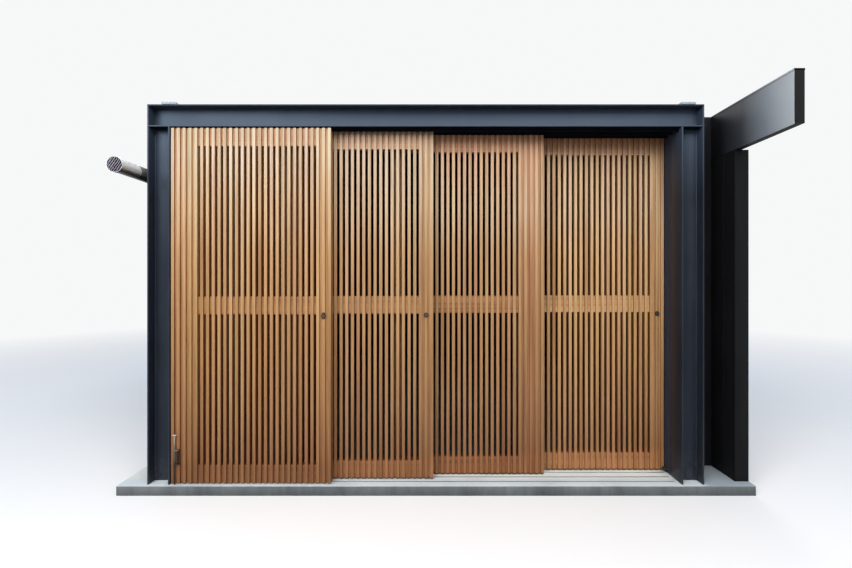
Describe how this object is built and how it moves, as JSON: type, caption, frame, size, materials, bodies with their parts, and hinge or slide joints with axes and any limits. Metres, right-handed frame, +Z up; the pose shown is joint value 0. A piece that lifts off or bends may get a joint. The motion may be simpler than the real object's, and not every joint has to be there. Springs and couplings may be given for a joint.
{
  "type": "townhouse street front with sliding lattice doors",
  "caption": "Single-storey row townhouse: a dark steel portal closed by sliding timber lattice doors, with a black sheet-clad shell and a low standing-seam roof behind it.",
  "frame": {"origin": "on the ground, at the middle of the doorway's width and of the house's depth", "axes": "+X to the right along the street, +Y into the house, +Z up"},
  "size_m": [4.264, 6.059, 2.6602],
  "materials": {
    "steel": "satin",
    "concrete": "matte",
    "stainless": "brushed",
    "dark_sheet": "matte",
    "roof_timber": "matte",
    "rubber": "matte",
    "cedar": "satin"
  },
  "bodies": {
    "shell": {"floor_slab": "concrete", "front_sill": "concrete", "sill_rails": "stainless", "left_column": "steel", "right_column": "steel", "front_beam": "steel", "beam_cap_plates": "stainless", "head_guides": "steel", "head_box": "dark_sheet", "left_jamb": "dark_sheet", "right_jamb": "dark_sheet", "left_end_panel": "dark_sheet", "right_end_panel": "dark_sheet", "vent_pipe": "stainless", "return_wall": "dark_sheet", "side_fascia": "dark_sheet", "left_party_wall": "dark_sheet", "right_party_wall": "dark_sheet", "back_wall": "dark_sheet", "roof_joists": "roof_timber", "roof_deck": "roof_timber", "roof_sheet": "dark_sheet", "left_verge_flashing": "dark_sheet", "right_verge_flashing": "dark_sheet", "front_flashing": "dark_sheet", "eave_board": "dark_sheet", "gutter": "dark_sheet", "downpipe": "dark_sheet", "door_stop": "rubber"},
    "door_1": {"lattice_door_1": "cedar", "door_rollers_1": "stainless", "door_lock_1": "stainless", "bolt_bracket": "stainless"},
    "door_2": {"lattice_door_2": "cedar", "door_rollers_2": "stainless", "door_lock_2": "stainless"},
    "door_3": {"lattice_door_3": "cedar", "door_rollers_3": "stainless"},
    "door_4": {"lattice_door_4": "cedar", "door_rollers_4": "stainless", "door_lock_4": "stainless"},
    "bolt": {"drop_bolt": "stainless"}
  },
  "joints": [
    {"name": "door_1_slide", "type": "slide", "parent": "shell", "child": "door_1", "axis": [1, 0, 0], "range_m": [0, 2.348]},
    {"name": "door_2_slide", "type": "slide", "parent": "shell", "child": "door_2", "axis": [1, 0, 0], "range_m": [-0.688, 1.66]},
    {"name": "door_3_slide", "type": "slide", "parent": "shell", "child": "door_3", "axis": [1, 0, 0], "range_m": [-1.465, 0.85]},
    {"name": "door_4_slide", "type": "slide", "parent": "shell", "child": "door_4", "axis": [1, 0, 0], "range_m": [-2.348, 0]},
    {"name": "drop_bolt_lift", "type": "slide", "parent": "door_1", "child": "bolt", "axis": [0, 0, 1], "range_m": [0, 0.08]}
  ]
}
